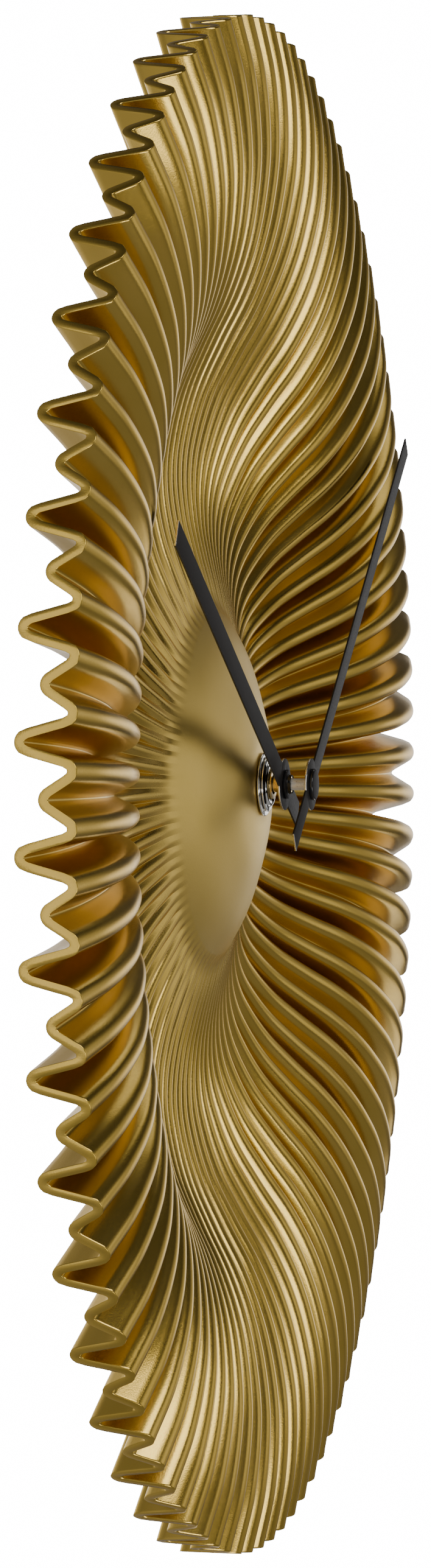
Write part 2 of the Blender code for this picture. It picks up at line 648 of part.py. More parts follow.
def motor():
    """A stepping motor: a flat stator round the rotor, and a core bar through its coil."""
    core_z = 21.6 * MM
    left, right = -19.0 * MM, 13.0 * MM
    leg = 4.0 * MM
    bar_low, bar_high = ROTOR[1] - 3.9 * MM, ROTOR[1] + 3.9 * MM
    outline = [
        (left, bar_low), (right, bar_low), (right, core_z + 2 * MM), (right - leg, core_z + 2 * MM),
        (right - leg, bar_high), (left + leg, bar_high), (left + leg, core_z + 2 * MM),
        (left, core_z + 2 * MM),
    ]
    plate("motor_stator", [outline, circle(3.1 * MM, 24, ROTOR)], 3.1 * MM, 3.9 * MM, STEEL)
    box("coil_core", (left, core_z - 1.0 * MM, 4.0 * MM), (right, core_z + 1.0 * MM, 4.8 * MM), STEEL)

    start, end = left + leg + 0.6 * MM, right - leg - 0.6 * MM
    middle = (start + end) / 2
    half = (end - start) / 2
    bobbin = turned(
        "coil_bobbin",
        [(2.7 * MM, half), (2.7 * MM, half - 0.7 * MM), (1.7 * MM, half - 0.7 * MM),
         (1.7 * MM, -half + 0.7 * MM), (2.7 * MM, -half + 0.7 * MM), (2.7 * MM, -half),
         (0.0, -half), (0.0, half)],
        CASE_PLASTIC, CENTRE, 20,
    )
    bobbin.rotation_euler = (0.0, math.pi / 2, 0.0)
    bobbin.location = (middle, -4.4 * MM, core_z)
    room_low = (left, core_z - 1.1 * MM, 3.85 * MM)
    room_high = (right, core_z + 1.1 * MM, 4.95 * MM)
    cut(bobbin, box("bobbin_room", room_low, room_high))
    winding = turned(
        "coil_winding",
        [(2.55 * MM, half - 0.8 * MM), (2.55 * MM, -half + 0.8 * MM), (1.8 * MM, -half + 0.8 * MM),
         (1.8 * MM, half - 0.8 * MM)],
        COPPER, CENTRE, 20,
    )
    winding.rotation_euler = (0.0, math.pi / 2, 0.0)
    winding.location = (middle, -4.4 * MM, core_z)


dial_shell()
fixings()
hanger()
movement_case()
rear_cover()
mid_plate()
gear_train()
hands()
battery()
contacts()
electronics()
motor()
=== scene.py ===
"""The looks of the pleated sunburst wall clock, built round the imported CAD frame.

The clock faces -Y, 12 o'clock is +Z, and the wall is the plane y = 0. The hands' axis is the
Y axis. "Depth" is always the distance forward from the wall, so it is minus y. Metres.
"""

import json
import math

import bmesh
import bpy
import numpy as np
from mathutils import Matrix, Vector


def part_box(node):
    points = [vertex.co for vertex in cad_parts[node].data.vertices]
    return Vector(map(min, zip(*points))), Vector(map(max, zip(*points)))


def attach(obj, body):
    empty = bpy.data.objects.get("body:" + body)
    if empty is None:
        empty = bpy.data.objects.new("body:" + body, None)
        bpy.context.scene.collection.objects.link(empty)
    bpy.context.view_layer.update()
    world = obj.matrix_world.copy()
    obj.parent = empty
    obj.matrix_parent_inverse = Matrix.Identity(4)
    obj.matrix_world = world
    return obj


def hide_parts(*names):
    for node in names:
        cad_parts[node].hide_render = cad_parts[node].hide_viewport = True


MM = 0.001

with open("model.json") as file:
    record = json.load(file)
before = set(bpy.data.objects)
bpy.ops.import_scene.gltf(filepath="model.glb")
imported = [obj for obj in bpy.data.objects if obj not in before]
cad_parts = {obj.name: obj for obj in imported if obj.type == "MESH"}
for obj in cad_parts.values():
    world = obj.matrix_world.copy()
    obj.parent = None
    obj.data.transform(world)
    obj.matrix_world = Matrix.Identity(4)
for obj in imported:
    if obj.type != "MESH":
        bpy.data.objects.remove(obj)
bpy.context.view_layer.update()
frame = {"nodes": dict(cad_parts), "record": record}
NODES = frame["nodes"]


# ---------------------------------------------------------------- sizes

DIAL_LOW, DIAL_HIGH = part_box("pleated_dial")
RIM_R = (DIAL_HIGH.x - DIAL_LOW.x) / 2
RIM_OFF_WALL = 16.0 * MM
SHEET = 2.3 * MM
RIDGES = 96
# The ridge crests, from the top of the dome out to the rim: (radius, height forward of
# RIM_OFF_WALL) in millimetres.
CREST = (
    (11, 12.7), (20, 11.1), (30, 8.0), (36, 5.8), (40, 3.9), (44, 1.5), (48, -0.8), (54, -2.6),
    (62, -4.8), (70, -6.5), (80, -7.3), (90, -6.4), (104, -2.6), (116, 3.0), (128, 9.3),
    (140, 14.0), (152, 16.9), (166, 18.5), (184, 17.6), (200, 14.4),
)
# The pleats deepen from the first radius to the second. Deep and shallow valleys take turns.
PLEAT_START_R, PLEAT_FULL_R = 47.0 * MM, 172.0 * MM
DEEP_PLEAT, SHALLOW_PLEAT = 12.4 * MM, 6.7 * MM
PLEAT_EASE = 1.3
# A fine ripple starts at the dome's edge, and fades away as the pleats deepen.
RIPPLE_START_R, RIPPLE_FULL_R = 45.5 * MM, 50.0 * MM
RIPPLE_SHARE = 0.05

HUB_R = 6.8 * MM
HOUR_TUBE_R, MINUTE_ARBOR_R = 2.1 * MM, 1.55 * MM
# Each hand: its node, its (length, tail, width), its bore's radius, its angle from 12 o'clock
# and its body
HANDS = (
    ("hour_hand", (136.0 * MM, 18.0 * MM, 6.9 * MM), HOUR_TUBE_R + 0.1 * MM,
     math.radians(297.3), "hour"),
    ("minute_hand", (161.2 * MM, 25.0 * MM, 5.5 * MM), MINUTE_ARBOR_R + 0.1 * MM,
     math.radians(54.2), "minute"),
)


def crest_height(radius):
    """The crest line's height at a radius, on a smooth curve through the points of CREST."""
    points = [(r * MM, h * MM) for r, h in CREST]
    if radius <= points[0][0]:
        return points[0][1]
    last = len(points) - 1
    i = min(max(k for k in range(last + 1) if points[k][0] <= radius), last - 1)

    def slope(k):
        before, after = points[max(k - 1, 0)], points[min(k + 1, last)]
        return (after[1] - before[1]) / (after[0] - before[0])

    (r0, h0), (r1, h1) = points[i], points[i + 1]
    width = r1 - r0
    t = (radius - r0) / width
    start = (2 * t**3 - 3 * t**2 + 1) * h0 + (t**3 - 2 * t**2 + t) * width * slope(i)
    end = (3 * t**2 - 2 * t**3) * h1 + (t**3 - t**2) * width * slope(i + 1)
    return start + end


def outward_share(radius, start, full):
    """0 inside the start radius, 1 outside the full radius, and in proportion between them."""
    return min(max((radius - start) / (full - start), 0.0), 1.0)


def pleat_share(radius):
    """How much of its full depth a pleat has: none on the dome, all of it near the rim."""
    t = outward_share(radius, PLEAT_START_R, PLEAT_FULL_R)
    ripple = RIPPLE_SHARE * outward_share(radius, RIPPLE_START_R, RIPPLE_FULL_R) * (1 - t)
    return math.sin(t * math.pi / 2) ** PLEAT_EASE + ripple


# ---------------------------------------------------------------- camera, light and stage

# The camera stands this many dial radii from the hub. The dial fills this share of the frame.
CAMERA_RADII = 6.8
DIAL_FILLS = 0.96972
# The line of sight makes this angle with the wall, and it falls by this much.
CAMERA_TURN = math.asin(0.2264)
CAMERA_FALL = 0.0187
SENSOR_HEIGHT_MM = 36.0


def make_camera():
    hub = Vector((0.0, -RIM_OFF_WALL, 0.0))
    along = Vector((
        math.cos(CAMERA_TURN) * math.cos(CAMERA_FALL),
        math.sin(CAMERA_TURN) * math.cos(CAMERA_FALL),
        -math.sin(CAMERA_FALL),
    ))
    data = bpy.data.cameras.new("camera")
    data.sensor_fit = "VERTICAL"
    data.sensor_height = SENSOR_HEIGHT_MM
    data.lens = SENSOR_HEIGHT_MM * CAMERA_RADII * DIAL_FILLS / 2
    camera = bpy.data.objects.new("camera", data)
    camera.location = hub - along * CAMERA_RADII * RIM_R
    camera.rotation_euler = along.to_track_quat("-Z", "Y").to_euler()
    bpy.context.scene.collection.objects.link(camera)
    bpy.context.scene.camera = camera


# The soft glow of the studio round the clock is a sum of these parts. Each part is a product of
# fades along a direction's X, Y or Z, or its tilt, which is |Z|. A fade is (what it follows, its
# start and end, its value at the start, its value at the end).
GLOWS = (
    # the camera's side
    (("X", -0.2, -0.9, 0.06, 0.32),),
    # behind the wall
    (("Y", 0.1, 0.6, 0.01, 0.20),),
    # a broad belt, level with the clock, in front of it and beyond
    (("tilt", 0.22, 0.55, 0.36, 0.0), ("X", -0.4, 0.3, 0.0, 1.0), ("X", 0.75, 0.95, 1.0, 0.0)),
    # a narrow bright belt on the far side
    (("tilt", 0.02, 0.28, 1.7, 0.0), ("X", 0.7, 0.97, 0.0, 1.0)),
    # behind the wall on the far side
    (("Y", 0.1, 0.85, 0.0, 0.9), ("X", 0.1, 0.6, 0.0, 1.0), ("tilt", 0.15, 0.8, 1.0, 0.0)),
    # below
    (("Z", -0.35, -0.6, 0.0, 0.2),),
)
BACKDROP_STRENGTH = 16.0


def set_map_range(made, start, end, low, high):
    """Sets the four ends of a Map Range node."""
    for socket, value in (("From Min", start), ("From Max", end), ("To Min", low), ("To Max", high)):
        made.inputs[socket].default_value = value


def make_world():
    """A white studio: the camera sees plain white, and the clock is lit by the GLOWS."""
    world = bpy.data.worlds.new("studio")
    bpy.context.scene.world = world
    world.use_nodes = True
    nodes, links = world.node_tree.nodes, world.node_tree.links
    nodes.clear()
    out = nodes.new("ShaderNodeOutputWorld")
    mix = nodes.new("ShaderNodeMixShader")
    path = nodes.new("ShaderNodeLightPath")
    seen = nodes.new("ShaderNodeBackground")
    seen.inputs["Color"].default_value = (1.0, 1.0, 1.0, 1.0)
    seen.inputs["Strength"].default_value = BACKDROP_STRENGTH
    lit = nodes.new("ShaderNodeBackground")
    lit.inputs["Strength"].default_value = 1.0
    coords = nodes.new("ShaderNodeTexCoord")
    split = nodes.new("ShaderNodeSeparateXYZ")
    links.new(coords.outputs["Generated"], split.inputs["Vector"])

    def fade(source, places_and_values):
        """A smooth rise or fall between two places on a scale."""
        made = nodes.new("ShaderNodeMapRange")
        made.interpolation_type = "SMOOTHSTEP"
        set_map_range(made, *places_and_values)
        links.new(source, made.inputs["Value"])
        return made.outputs["Result"]

    def maths(operation, first, second=None):
        made = nodes.new("ShaderNodeMath")
        made.operation = operation
        links.new(first, made.inputs[0])
        if second is not None:
            links.new(second, made.inputs[1])
        return made.outputs["Value"]

    followed = {axis: split.outputs[axis] for axis in ("X", "Y", "Z")}
    followed["tilt"] = maths("ABSOLUTE", followed["Z"])
    total = None
    for glow in GLOWS:
        part = None
        for name, *places_and_values in glow:
            share = fade(followed[name], places_and_values)
            part = share if part is None else maths("MULTIPLY", part, share)
        total = part if total is None else maths("ADD", total, part)
    links.new(total, lit.inputs["Color"])
    links.new(path.outputs["Is Camera Ray"], mix.inputs["Fac"])
    links.new(lit.outputs["Background"], mix.inputs[1])
    links.new(seen.outputs["Background"], mix.inputs[2])
    links.new(mix.outputs["Shader"], out.inputs["Surface"])


def area_light(name, place, width, height, radiance):
    """A soft box aimed at the clock, as bright as its radiance in every direction it faces."""
    data = bpy.data.lights.new(name, "AREA")
    data.shape = "RECTANGLE"
    data.size, data.size_y = width, height
    data.energy = radiance * math.pi * width * height
    light = bpy.data.objects.new(name, data)
    light.location = place
    light.rotation_euler = (-Vector(place)).to_track_quat("-Z", "Y").to_euler()
    bpy.context.scene.collection.objects.link(light)
    light.visible_camera = False


# Each soft box: (name, degrees round from the front towards +X, degrees up, distance, width,
# height, radiance)
BOXES = (
    ("key_high", -36.0, 30.0, 1.6, 0.8, 0.64, 4.9),
    ("key_low", -42.0, -25.0, 1.6, 0.8, 0.5, 4.7),
    ("front", 14.0, 0.0, 1.7, 0.9, 0.9, 0.42),
    ("far_high", 70.0, 52.0, 1.8, 0.8, 0.5, 1.2),
    ("far_low", 86.0, -34.0, 2.0, 0.9, 0.6, 1.3),
    ("near_side", -99.0, 0.0, 2.2, 1.4, 3.0, 0.9),
)


def make_lights():
    for name, turn, rise, distance, width, height, radiance in BOXES:
        turn, rise = math.radians(turn), math.radians(rise)
        level = math.cos(rise) * distance
        place = (math.sin(turn) * level, -math.cos(turn) * level, math.sin(rise) * distance)
        area_light(name, place, width, height, radiance)


FLOOR_R = 4.0
FLOOR_BELOW_HUB = 2.2
FLOOR_GLOW = 0.6


def make_floor():
    """A plain pale floor well below the clock. The clock's metal does not mirror it."""
    bm = bmesh.new()
    bmesh.ops.create_circle(bm, cap_ends=True, segments=96, radius=FLOOR_R)
    mesh = bpy.data.meshes.new("floor")
    bm.to_mesh(mesh)
    bm.free()
    floor = bpy.data.objects.new("floor", mesh)
    floor.location = (0.0, 0.0, -FLOOR_BELOW_HUB)
    floor.visible_glossy = False
    bpy.context.scene.collection.objects.link(floor)
    paint = Paint("floor_paint", 0.9, 0.0)
    white = paint.ramp(paint.noise(0.2), [(0.3, (0.90, 0.90, 0.89)), (0.7, (0.94, 0.94, 0.93))])
    paint.colour(white)
    paint.link(white, paint.shader.inputs["Emission Color"])
    paint.shader.inputs["Emission Strength"].default_value = FLOOR_GLOW
    mesh.materials.append(paint.material)


# ---------------------------------------------------------------- materials


class Paint:
    """A material under construction: its shader, and short calls for the nodes behind it."""

    def __init__(self, name, roughness, metallic):
        self.material = bpy.data.materials.new(name)
        self.material.use_nodes = True
        self.tree = self.material.node_tree
        self.shader = self.tree.nodes["Principled BSDF"]
        self.shader.inputs["Roughness"].default_value = roughness
        self.shader.inputs["Metallic"].default_value = metallic
        self.place = self.tree.nodes.new("ShaderNodeTexCoord").outputs["Object"]

    def node(self, kind, **settings):
        made = self.tree.nodes.new("ShaderNode" + kind)
        for name, value in settings.items():
            setattr(made, name, value)
        return made

    def link(self, source, target):
        self.tree.links.new(source, target)

    def noise(self, size, detail=3.0, stretch=(1.0, 1.0, 1.0)):
        """Noise with features about this size across, in metres."""
        scale = self.node("VectorMath", operation="MULTIPLY")
        scale.inputs[1].default_value = tuple(s / size for s in stretch)
        self.link(self.place, scale.inputs[0])
        noise = self.node("TexNoise")
        noise.inputs["Scale"].default_value = 1.0
        noise.inputs["Detail"].default_value = detail
        self.link(scale.outputs["Vector"], noise.inputs["Vector"])
        return noise.outputs["Fac"]

    def ramp(self, value, stops):
        """Colours or greys along a value. Each stop is a position and a colour."""
        ramp = self.node("ValToRGB")
        elements = ramp.color_ramp.elements
        while len(elements) < len(stops):
            elements.new(0.5)
        for element, (position, colour) in zip(elements, stops):
            element.position = position
            element.color = (*colour, 1.0)
        self.link(value, ramp.inputs["Fac"])
        return ramp.outputs["Color"]

    def spread(self, value, start, end, low, high, easing="LINEAR"):
        """A value moved from the range between start and end to the range from low to high."""
        made = self.node("MapRange", interpolation_type=easing)
        set_map_range(made, start, end, low, high)
        self.link(value, made.inputs["Value"])
        return made.outputs["Result"]

    def between(self, noise, low, high):
        """Noise, which is mostly between 0.3 and 0.7, spread out from low to high."""
        return self.spread(noise, 0.3, 0.7, low, high)

    def from_axis(self):
        """The distance from the clock's axis."""
        flat = self.node("VectorMath", operation="MULTIPLY")
        flat.inputs[1].default_value = (1.0, 0.0, 1.0)
        self.link(self.place, flat.inputs[0])
        length = self.node("VectorMath", operation="LENGTH")
        self.link(flat.outputs["Vector"], length.inputs[0])
        return length.outputs["Value"]

    def blend(self, share, first, second):
        """A colour that goes from the first to the second as the share goes from 0 to 1."""
        mix = self.node("Mix", data_type="RGBA")
        share_socket, first_socket, second_socket = mix.inputs[0], mix.inputs[6], mix.inputs[7]
        self.link(share, share_socket)
        self.link(first, first_socket)
        self.link(second, second_socket)
        return mix.outputs[2]

    def bump(self, height, strength, distance):
        bump = self.node("Bump")
        bump.inputs["Strength"].default_value = strength
        bump.inputs["Distance"].default_value = distance
        self.link(height, bump.inputs["Height"])
        self.link(bump.outputs["Normal"], self.shader.inputs["Normal"])

    def colour(self, source):
        self.link(source, self.shader.inputs["Base Color"])

    def rough(self, source):
        self.link(source, self.shader.inputs["Roughness"])


def gold_paint(name, grazing_tint):
    """Satin gold, which is duller near the clock's axis, on the dome, and lighter there as a painted
    sheen.
    """
    paint = Paint(name, 0.34, 1.0)
    paint.shader.inputs["Specular Tint"].default_value = (*grazing_tint, 1.0)
    patches = paint.noise(18 * MM, 2.0)
    gold = paint.ramp(patches, [(0.35, (0.565, 0.38, 0.076)), (0.65, (0.605, 0.41, 0.09))])
    # painted sheen: a lighter gold on the dome, blended in towards the clock's axis
    painted_sheen_gold = paint.ramp(patches, [(0.35, (0.76, 0.54, 0.14)), (0.65, (0.80, 0.57, 0.16))])
    grain = paint.noise(0.35 * MM, 2.0)
    from_axis = paint.from_axis()
    duller = paint.spread(from_axis, 38 * MM, 60 * MM, 0.18, 0.0, "SMOOTHSTEP")
    outward = paint.spread(from_axis, 36 * MM, 70 * MM, 0.0, 1.0, "SMOOTHSTEP")
    paint.colour(paint.blend(outward, painted_sheen_gold, gold))
    total = paint.node("Math", operation="ADD")
    paint.link(paint.between(grain, 0.20, 0.27), total.inputs[0])
    paint.link(duller, total.inputs[1])
    paint.rough(total.outputs["Value"])
    paint.bump(grain, 0.45, 0.04 * MM)
    return paint.material


def hand_black():
    """Satin black that mirrors very little."""
    paint = Paint("satin_black_hand", 0.45, 0.0)
    paint.shader.inputs["IOR"].default_value = 1.06
    grain = paint.noise(0.5 * MM, 2.0)
    paint.colour(paint.ramp(grain, [(0.3, (0.016, 0.014, 0.013)), (0.7, (0.024, 0.021, 0.019))]))
    paint.rough(paint.between(grain, 0.40, 0.50))
    paint.bump(grain, 0.1, 0.01 * MM)
    return paint.material


def turned_metal(name, low, high, roughness, metallic=1.0):
    """Bright turned metal, with fine rings round the clock's axis."""
    paint = Paint(name, roughness, metallic)
    rings = paint.node("TexWave", wave_type="RINGS", rings_direction="Y")
    rings.inputs["Scale"].default_value = 900.0
    rings.inputs["Distortion"].default_value = 0.6
    paint.link(paint.place, rings.inputs["Vector"])
    smears = paint.noise(2 * MM)
    paint.colour(paint.ramp(smears, [(0.3, low), (0.7, high)]))
    paint.rough(paint.between(smears, roughness * 0.8, roughness * 1.3))
    paint.bump(rings.outputs["Fac"], 0.06, 0.01 * MM)
    return paint.material


def moulded_plastic(name, low, high, roughness, grain_size):
    """Plastic, paint or rubber with an even grain, from its darker to its lighter colour."""
    paint = Paint(name, roughness, 0.0)
    grain = paint.noise(grain_size)
    paint.colour(paint.ramp(grain, [(0.3, low), (0.7, high)]))
    paint.rough(paint.between(paint.noise(6 * MM), roughness * 0.85, roughness * 1.15))
    paint.bump(grain, 0.25, 0.05 * MM)
    return paint.material


def rolled_metal(name, low, high, roughness):
    """Sheet metal with a fine lengthwise grain."""
    paint = Paint(name, roughness, 1.0)
    streaks = paint.noise(0.4 * MM, 3.0, (1.0, 1.0, 0.06))
    paint.colour(paint.ramp(streaks, [(0.3, low), (0.7, high)]))
    paint.rough(paint.between(streaks, roughness * 0.75, roughness * 1.25))
    paint.bump(streaks, 0.12, 0.01 * MM)
    return paint.material


def wound_copper():
    """Enamelled wire, with its turns side by side along X."""
    paint = Paint("wound_copper", 0.32, 0.9)
    turns = paint.node("TexWave", wave_type="BANDS", bands_direction="X")
    turns.inputs["Scale"].default_value = 1600.0
    turns.inputs["Distortion"].default_value = 0.8
    paint.link(paint.place, turns.inputs["Vector"])
    copper = paint.ramp(turns.outputs["Fac"], [(0.2, (0.30, 0.10, 0.04)), (0.8, (0.70, 0.30, 0.12))])
    paint.colour(copper)
    paint.bump(turns.outputs["Fac"], 0.5, 0.05 * MM)
    return paint.material


def make_materials():
    return {
        # One gold paint in two copies. The dial's warm grazing tint is painted shade that dulls the
        # pale lines along the ridges' edges; the dome keeps a white grazing tint.
        "gold_dial": gold_paint("satin_gold", (0.94, 0.87, 0.76)),
        "gold_dome": gold_paint("satin_gold_dome", (1.0, 1.0, 1.0)),
        "hand_black": hand_black(),
        "cut_edge": rolled_metal("bare_cut_edge", (0.80, 0.79, 0.77), (0.92, 0.91, 0.89), 0.25),
        "painted_edge": moulded_plastic(
            "painted_hand_edge", (0.010, 0.009, 0.009), (0.016, 0.015, 0.014), 0.25, 1 * MM),
        "boss_black": moulded_plastic(
            "glossy_black_boss", (0.006, 0.006, 0.006), (0.010, 0.010, 0.010), 0.15, 2 * MM),
        "chrome": turned_metal("polished_chrome", (0.78, 0.76, 0.72), (0.86, 0.84, 0.80), 0.09),
        "plated": turned_metal("nickel_plate", (0.86, 0.84, 0.79), (0.94, 0.92, 0.88), 0.30, 0.4),
        "brass": turned_metal("turned_brass", (0.72, 0.52, 0.20), (0.84, 0.62, 0.26), 0.18),
        "steel": rolled_metal("rolled_steel", (0.50, 0.50, 0.50), (0.66, 0.66, 0.65), 0.30),
        "rubber": moulded_plastic(
            "matt_rubber", (0.014, 0.014, 0.014), (0.022, 0.022, 0.022), 0.8, 0.3 * MM),
        "case_plastic": moulded_plastic(
            "textured_case", (0.018, 0.018, 0.020), (0.030, 0.030, 0.032), 0.5, 0.4 * MM),
        "gear_plastic": moulded_plastic(
            "white_nylon", (0.76, 0.73, 0.66), (0.84, 0.82, 0.76), 0.42, 1.2 * MM),
        "board": moulded_plastic(
            "solder_resist", (0.02, 0.12, 0.05), (0.04, 0.18, 0.07), 0.4, 0.9 * MM),
        "copper": wound_copper(),
        "magnet": moulded_plastic(
            "sintered_ferrite", (0.05, 0.05, 0.055), (0.08, 0.08, 0.085), 0.6, 0.2 * MM),
        "battery": moulded_plastic(
            "battery_sleeve", (0.05, 0.08, 0.14), (0.07, 0.10, 0.17), 0.35, 3 * MM),
        "epoxy": moulded_plastic(
            "cured_epoxy", (0.012, 0.012, 0.012), (0.02, 0.02, 0.02), 0.3, 1.5 * MM),
    }


# ---------------------------------------------------------------- making pieces


def piece(name, mesh, material, body, slot, *stands_for):
    """A finished mesh, riding on its body and standing for its CAD nodes."""
    obj = bpy.data.objects.new(name, mesh)
    bpy.context.scene.collection.objects.link(obj)
    if not mesh.materials:
        mesh.materials.append(material)
    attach(obj, body)
    if stands_for:
        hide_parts(*stands_for)
    return obj


# The pleats' section. Its columns run from one shallow valley to the next, over a ridge, the deep
# valley and another ridge. They crowd together on the ridges and in the valleys, where it bends.
QUARTER_COLUMNS = 10
BEND_SHARE = 0.31
EDGE_ROUND = 0.12 * MM
BUSH_HOLE_R = 4.3 * MM
PERIODS = RIDGES // 2
SECTION_SAMPLES = 720


def flank_angle(pitch, fall, bend):
    """The slope of a straight flank joined to its ridge and its valley by arcs of this radius."""
    low, high = 0.0, math.radians(89.0)
    for _ in range(40):
        angle = (low + high) / 2
        straight = (pitch - 2 * bend * math.sin(angle)) / math.cos(angle)
        if 2 * bend * (1 - math.cos(angle)) + straight * math.sin(angle) < fall:
            low = angle
        else:
            high = angle
    return angle


def fold(x, pitch, fall):
    """How far a flank has fallen, from its ridge at x = 0 to its valley at x = 1."""
    bend = BEND_SHARE * pitch
    angle = flank_angle(pitch, fall, bend)
    reach = bend * math.sin(angle)

    def arc(across):
        return bend - np.sqrt(np.maximum(bend**2 - across**2, 0.0))

    across = x * pitch
    straight = arc(reach) + (across - reach) * math.tan(angle)
    upper = np.where(across < reach, arc(np.minimum(across, reach)), straight)
    to_valley = np.minimum(pitch - across, reach)
    return np.where(across > pitch - reach, fall - arc(to_valley), upper)


def middle_surface(phase, pitch, deep, shallow):
    """Heights under the ridge line. The phase is 0 in a shallow valley and 2 in a deep one."""
    from_valley = np.abs((phase + 2) % 4 - 2)
    to_ridge = np.abs(from_valley - 1)
    return -np.where(from_valley > 1, fold(to_ridge, pitch, deep), fold(to_ridge, pitch, shallow))


def section(radius):
    """Front and back depths of every column in one period, at a radius.

    The sheet is what a disc as wide as its thickness sweeps along the middle surface."""
    pitch = 2 * math.pi * radius / (2 * RIDGES)
    half_sheet = SHEET / 2
    deep, shallow = DEEP_PLEAT * pleat_share(radius), SHALLOW_PLEAT * pleat_share(radius)
    eased = [(1 - math.cos(math.pi * k / QUARTER_COLUMNS)) / 2 for k in range(QUARTER_COLUMNS)]
    phase = np.array([q + (e + k / QUARTER_COLUMNS) / 2 for q in range(4) for k, e in enumerate(eased)])
    across = np.linspace(-1.0, 1.0, SECTION_SAMPLES)
    reach = across * half_sheet / pitch
    disc = half_sheet * np.sqrt(1 - across**2)
    middle = middle_surface(phase[:, None] + reach[None, :], pitch, deep, shallow)
    base = RIM_OFF_WALL + crest_height(radius) - half_sheet
    return phase, base + (middle + disc).max(axis=1), base + (middle - disc).min(axis=1)


def ring_radii():
    """Radii of the rings of points, closest together where the pleats start and where they bend."""
    inner = np.linspace(BUSH_HOLE_R, 44 * MM, 16)
    middle = np.linspace(45 * MM, 150 * MM, 52)
    outer = np.linspace(152.5 * MM, RIM_R - 0.5 * MM, 22)
    return np.concatenate([inner, middle, outer])


def pleated_dial():
    """The whole dial as rings of points: the front, the cut edge, then the back."""
    columns = 4 * QUARTER_COLUMNS * PERIODS
    front_rings, back_rings = [], []
    for radius in ring_radii():
        phase, front, back = section(radius)
        front_rings.append((radius, front))
        back_rings.append((radius, back))
    phase, front, back = section(RIM_R)
    edge = [
        (RIM_R - 0.3 * EDGE_ROUND, front - 0.05 * EDGE_ROUND), (RIM_R, front - EDGE_ROUND),
        (RIM_R, back + EDGE_ROUND), (RIM_R - 0.3 * EDGE_ROUND, back + 0.05 * EDGE_ROUND),
    ]
    rings = front_rings + edge + back_rings[::-1]
    angle = np.concatenate([(phase + 4 * k) for k in range(PERIODS)]) * (2 * math.pi / (4 * PERIODS))
    points = np.zeros((len(rings), columns, 3))
    for j, (radius, depth) in enumerate(rings):
        points[j, :, 0] = radius * np.sin(angle)
        points[j, :, 1] = -np.tile(depth, PERIODS)
        points[j, :, 2] = radius * np.cos(angle)
    count = len(rings)
    ring_from = np.arange(count)[:, None] * columns
    ring_to = ((np.arange(count) + 1) % count)[:, None] * columns
    here = np.arange(columns)[None, :]
    there = (here + 1) % columns
    quads = np.stack([ring_from + here, ring_from + there, ring_to + there, ring_to + here], axis=-1)
    mesh = bpy.data.meshes.new("pleated_dial_metal")
    mesh.from_pydata(points.reshape(-1, 3).tolist(), [], quads.reshape(-1, 4).tolist())
    # The dome takes the copy with a white grazing tint. The pleats take the copy whose warm grazing
    # tint is painted shade along the ridges' edges.
    for finish in ("gold_dial", "gold_dome"):
        mesh.materials.append(materials[finish])
    for polygon in mesh.polygons:
        if polygon.center.xz.length < RIPPLE_START_R:
            polygon.material_index = 1
    mesh.shade_smooth()
    piece("pleated_dial_metal", mesh, materials["gold_dial"], "root", "gold_dial", "pleated_dial")


def weld(mesh):
    """Joins points that lie in one place, and turns every face outwards."""
    bm = bmesh.new()
    bm.from_mesh(mesh)
    bmesh.ops.remove_doubles(bm, verts=bm.verts, dist=1e-7)
    bmesh.ops.recalc_face_normals(bm, faces=bm.faces)
    bm.to_mesh(mesh)
    bm.free()


LATHE_SEGMENTS = 96
SOFT_EDGE = 0.12 * MM


def lathe(name, profile):
    """A solid turned about the clock's axis, from (radius, depth) points round its section."""
    count = len(profile)
    points, quads = [], []
    for i in range(LATHE_SEGMENTS):
        angle = 2 * math.pi * i / LATHE_SEGMENTS
        points += [(r * math.sin(angle), -d, r * math.cos(angle)) for r, d in profile]
    for i in range(LATHE_SEGMENTS):
        here, there = i * count, ((i + 1) % LATHE_SEGMENTS) * count
        for k in range(count):
            after = (k + 1) % count
            quads.append((here + k, here + after, there + after, there + k))
    mesh = bpy.data.meshes.new(name)
    mesh.from_pydata(points, [], quads)
    weld(mesh)
    mesh.shade_smooth()
    mesh.set_sharp_from_angle(angle=math.radians(40))
    return mesh


def depths(node_name):
    """How far forward of the wall a CAD node's back and front are."""
    low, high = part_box(node_name)
    return -high.y, -low.y


def turned_piece(name, profile, material, body, slot, *stands_for):
    """A piece turned about the clock's axis, with its edges rounded a little.

    Its section's radii are in millimetres, and its depths in metres."""
    mesh = lathe(name, [(r * MM, d) for r, d in profile])
    obj = piece(name, mesh, material, body, slot, *stands_for)
    bevel = obj.modifiers.new("soft_edges", "BEVEL")
    bevel.width = SOFT_EDGE
    bevel.segments = 3
    bevel.angle_limit = math.radians(35)
    return obj


HUB_ARC_STEPS = 28
BORE_STEPS = 48
BROKEN_CORNER = 0.05 * MM


